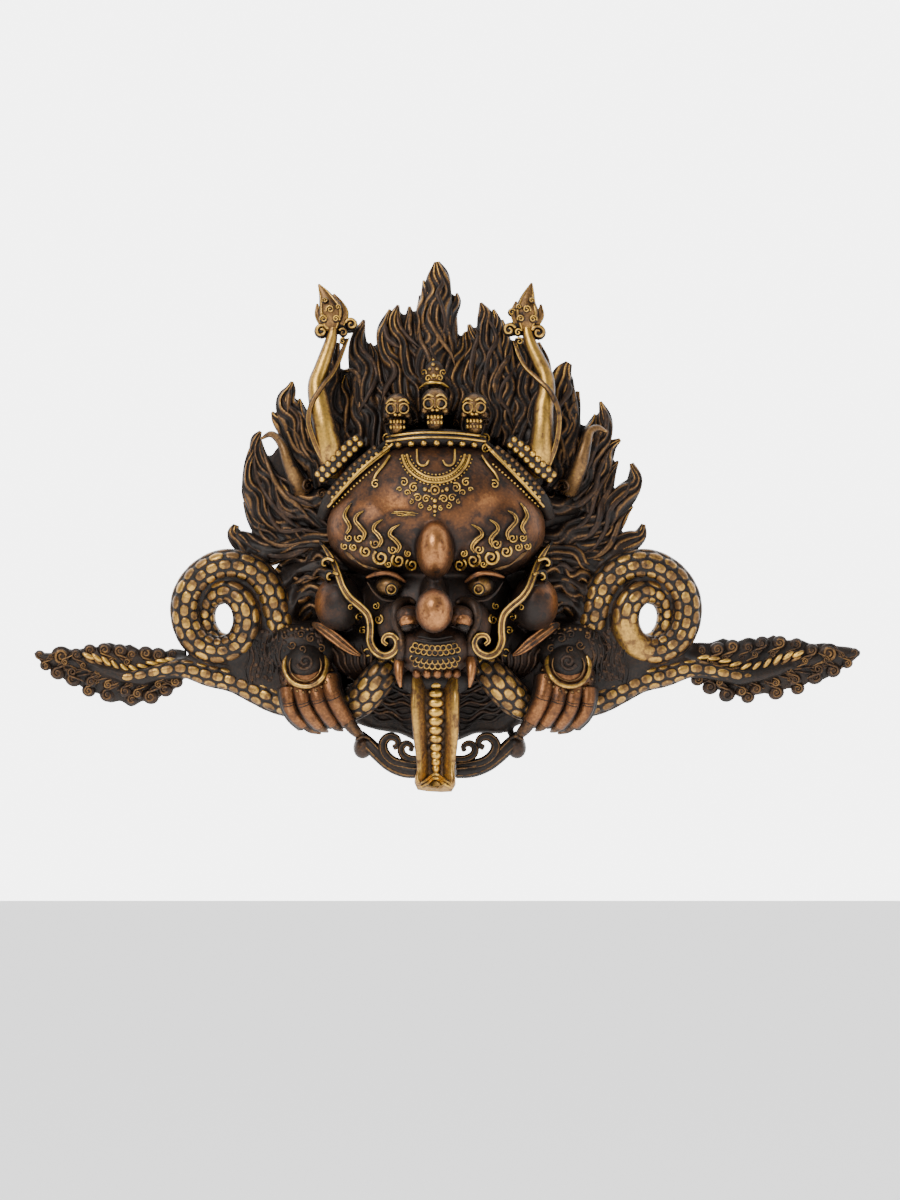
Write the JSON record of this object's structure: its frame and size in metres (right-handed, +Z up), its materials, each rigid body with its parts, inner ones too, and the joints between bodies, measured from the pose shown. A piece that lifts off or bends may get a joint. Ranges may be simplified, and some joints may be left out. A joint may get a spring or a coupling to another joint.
{
  "type": "yamantaka mask",
  "caption": "Cast brass wall mask of a wrathful horned deity in a mane of flames, with a skull crown, a long tongue and coiled serpents at both sides.",
  "frame": {"origin": "on the flat back behind the crown, at the pad where the mask hangs on the wall", "axes": "+Y into the wall, the face looks along -Y, +X to the viewer's right, +Z up"},
  "size_m": [0.5587, 0.1079, 0.3522],
  "materials": {
    "brass_patina": "cast brass with a dark brown patina, rubbed bright on the raised carving"
  },
  "bodies": {
    "root": {"mask": "brass_patina"}
  },
  "joints": []
}
